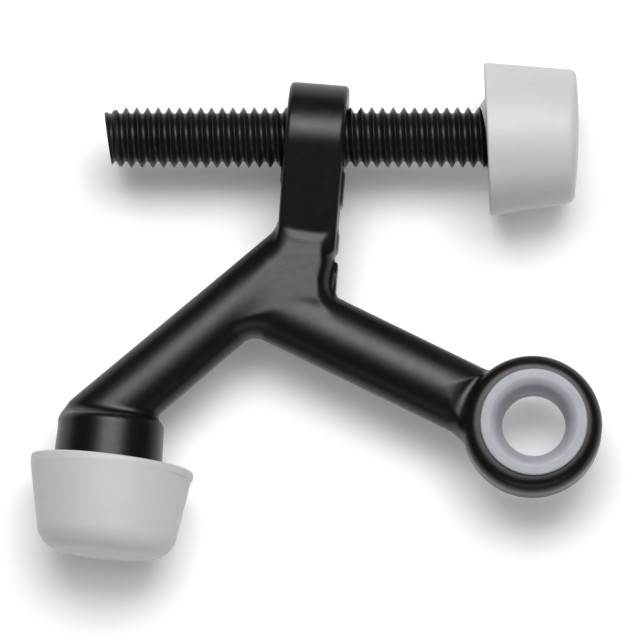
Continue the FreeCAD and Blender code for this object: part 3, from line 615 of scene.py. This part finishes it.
class Nodes:
    """A few lines to build a procedural material."""

    def __init__(self, name):
        self.material = bpy.data.materials.new(name)
        self.material.use_nodes = True
        self.tree = self.material.node_tree
        self.shader = next(n for n in self.tree.nodes if n.type == "BSDF_PRINCIPLED")

    def add(self, kind, **sockets):
        node = self.tree.nodes.new(kind)
        for name, value in sockets.items():
            self.put(node, name.replace("_", " "), value)
        return node

    def put(self, node, name, value):
        socket = node.inputs[name]
        if isinstance(value, bpy.types.NodeSocket):
            self.tree.links.new(value, socket)
        else:
            socket.default_value = value

    def noise(self, scale, detail=3.0, roughness=0.5):
        coordinate = self.tree.nodes.get("place")
        if coordinate is None:
            coordinate = self.tree.nodes.new("ShaderNodeTexCoord")
            coordinate.name = "place"
        node = self.add("ShaderNodeTexNoise", Scale=scale, Detail=detail, Roughness=roughness,
                        Vector=coordinate.outputs["Object"])
        return node.outputs["Fac"]

    def ramp(self, value, low, high, at_low, at_high):
        node = self.add("ShaderNodeMapRange", Value=value)
        for name, number in (("From Min", low), ("From Max", high),
                             ("To Min", at_low), ("To Max", at_high)):
            node.inputs[name].default_value = number
        return node.outputs["Result"]

    def blend(self, factor, first, second):
        node = self.tree.nodes.new("ShaderNodeMix")
        node.data_type = "RGBA"
        for socket in node.inputs:
            if socket.name == "Factor" and socket.type == "VALUE":
                self.tree.links.new(factor, socket)
            elif socket.name in ("A", "B") and socket.type == "RGBA":
                value = first if socket.name == "A" else second
                if isinstance(value, bpy.types.NodeSocket):
                    self.tree.links.new(value, socket)
                else:
                    socket.default_value = value + (1.0,) if len(value) == 3 else value
        return next(s for s in node.outputs if s.type == "RGBA")

    def add_up(self, *values):
        total = values[0]
        for value in values[1:]:
            node = self.tree.nodes.new("ShaderNodeMath")
            node.operation = "ADD"
            self.tree.links.new(total, node.inputs[0])
            self.tree.links.new(value, node.inputs[1])
            total = node.outputs[0]
        return total

    def bump(self, height, distance, strength=1.0):
        node = self.add("ShaderNodeBump", Height=height, Distance=distance, Strength=strength)
        self.put(self.shader, "Normal", node.outputs["Normal"])

    def attribute(self, name):
        node = self.tree.nodes.new("ShaderNodeAttribute")
        node.attribute_name = name
        return node.outputs["Fac"]


def black_paint():
    m = Nodes("black_paint_look")
    cloud = m.noise(220, 4)
    worn = m.ramp(m.attribute("edge"), 0.35, 1.2, 0, 1)
    base = m.blend(m.ramp(cloud, 0.3, 0.7, 0, 1), (0.0018, 0.0017, 0.002), (0.003, 0.0029, 0.0032))
    m.put(m.shader, "Base Color", m.blend(worn, base, (0.008, 0.008, 0.009)))
    m.put(m.shader, "Roughness", m.ramp(m.noise(900, 3), 0.25, 0.75, 0.31, 0.37))
    m.put(m.shader, "Specular IOR Level", 0.34)
    peel = m.ramp(m.noise(1100, 2), 0, 1, 0, 1)
    waves = m.ramp(m.noise(260, 2), 0, 1, 0, 1.5)
    m.bump(m.add_up(peel, waves), 0.000012)
    return m.material


def black_oxide():
    m = Nodes("black_oxide_look")
    cloud = m.noise(500, 4)
    base = m.blend(m.ramp(cloud, 0.3, 0.7, 0, 1), (0.008, 0.0078, 0.008), (0.014, 0.0136, 0.014))
    m.put(m.shader, "Base Color", base)
    m.put(m.shader, "Metallic", 0.2)
    m.put(m.shader, "Specular IOR Level", 0.3)
    m.put(m.shader, "Roughness", m.ramp(m.noise(1600, 3), 0.25, 0.75, 0.3, 0.46))
    m.bump(m.noise(2600, 3), 0.00001)
    return m.material


def white_rubber():
    m = Nodes("white_rubber_look")
    cloud = m.noise(90, 5)
    base = m.blend(m.ramp(cloud, 0.3, 0.7, 0, 1), (0.53, 0.54, 0.55), (0.575, 0.585, 0.59))
    m.put(m.shader, "Base Color", base)
    m.put(m.shader, "Roughness", m.ramp(m.noise(700, 3), 0.25, 0.75, 0.42, 0.55))
    m.put(m.shader, "Subsurface Weight", 0.15)
    m.put(m.shader, "Subsurface Scale", 0.001)
    m.bump(m.noise(1500, 4), 0.00002)
    return m.material


def grey_nylon():
    m = Nodes("grey_nylon_look")
    cloud = m.noise(250, 4)
    base = m.blend(m.ramp(cloud, 0.3, 0.7, 0, 1), (0.325, 0.34, 0.37), (0.365, 0.38, 0.41))
    m.put(m.shader, "Base Color", base)
    m.put(m.shader, "Roughness", m.ramp(m.noise(900, 3), 0.25, 0.75, 0.38, 0.5))
    m.put(m.shader, "Subsurface Weight", 0.7)
    m.put(m.shader, "Subsurface Scale", 0.0025)
    m.put(m.shader, "Subsurface Radius", (1, 1, 1))
    m.bump(m.noise(2000, 3), 0.00001)
    return m.material


# --------------------------------------------------------------------- camera and studio

def aim(thing, target, up):
    """Turns a lamp or camera so that its -Z looks at the target."""
    back = (thing.location - Vector(target)).normalized()
    right = Vector(up).cross(back).normalized()
    turn = Matrix((right, back.cross(right), back)).transposed()
    thing.rotation_euler = turn.to_euler()


SENSOR_WIDTH, LENS = 36, 427.5
VIEW_CENTRE, VIEW_DISTANCE = Vector((-28.1, 14.07, 0)) * MM, 1.0
VIEW_TILT, VIEW_YAW = math.radians(81.75), math.radians(1.3)


def make_camera():
    """The photo's camera. Returns what it looks at, and the ways back and right from there."""
    data = bpy.data.cameras.new("camera")
    data.sensor_width, data.lens = SENSOR_WIDTH, LENS
    data.clip_start, data.clip_end = 0.05, 10
    camera = bpy.data.objects.new("camera", data)
    bpy.context.scene.collection.objects.link(camera)
    back = Vector((math.sin(VIEW_YAW), -math.cos(VIEW_TILT), math.sin(VIEW_TILT))).normalized()
    camera.location = VIEW_CENTRE + back * VIEW_DISTANCE
    right = (Vector((1, 0, 0)) - back * back.x).normalized()
    aim(camera, VIEW_CENTRE, back.cross(right))
    bpy.context.scene.camera = camera
    return VIEW_CENTRE, back, right


def make_light(name, place, target, width, height, power, up):
    data = bpy.data.lights.new(name, "AREA")
    data.shape = "RECTANGLE"
    data.size, data.size_y = width, height
    data.energy = power
    light = bpy.data.objects.new(name, data)
    bpy.context.scene.collection.objects.link(light)
    light.location = place
    aim(light, target, up)


def make_studio(target, back, right):
    up = back.cross(right)

    def around(angle, side, distance):
        """A place round the object: degrees above the view line, and sideways."""
        a, s = math.radians(angle), math.radians(side)
        return target + distance * (math.cos(a) * math.cos(s) * back + math.sin(a) * math.cos(s) * up
                                    + math.sin(s) * right)

    make_light("softbox", around(27, 2, 0.6), target, 0.4, 0.22, 1.7, up=(0, 1, 0.5))
    make_light("softbox_edge", around(27, 2, 0.62), target, 0.62, 0.5, 2.8, up=(0, 1, 0.5))
    make_light("fill", around(-52, 3, 0.7), target, 0.8, 0.26, 0.7, up=(0, 0, 1))
    world = bpy.data.worlds.new("studio")
    world.use_nodes = True
    world.node_tree.nodes["Background"].inputs["Color"].default_value = (0.9, 0.95, 1.0, 1)
    world.node_tree.nodes["Background"].inputs["Strength"].default_value = 0.08
    bpy.context.scene.world = world

    mesh = bpy.data.meshes.new("floor")
    half, low = 1.5, -(RIM_RADIUS + 0.1) * MM
    mesh.from_pydata([(-half, -half, low), (half, -half, low), (half, half, low), (-half, half, low)],
                     [], [(0, 1, 2, 3)])
    floor = bpy.data.objects.new("floor", mesh)
    bpy.context.scene.collection.objects.link(floor)
    m = Nodes("floor_look")
    m.put(m.shader, "Base Color", m.blend(m.ramp(m.noise(6, 3), 0.3, 0.7, 0, 1),
                                          (0.94, 0.94, 0.94), (0.97, 0.97, 0.97)))
    m.put(m.shader, "Roughness", 0.8)
    m.put(m.shader, "Emission Color", (1, 1, 1, 1))
    m.put(m.shader, "Emission Strength", 0.12)
    m.put(m.shader, "Specular IOR Level", 0.2)
    mesh.materials.append(m.material)


make_studio(*make_camera())
bpy.context.scene.view_settings.view_transform = "Standard"

nylon, rubber = grey_nylon(), white_rubber()
make_casting(black_paint())
make_bush("upper_bush", 1, nylon)
make_bush("lower_bush", -1, nylon)
make_rod(black_oxide())
make_rod_tip(rubber)
make_foot_tip(rubber)
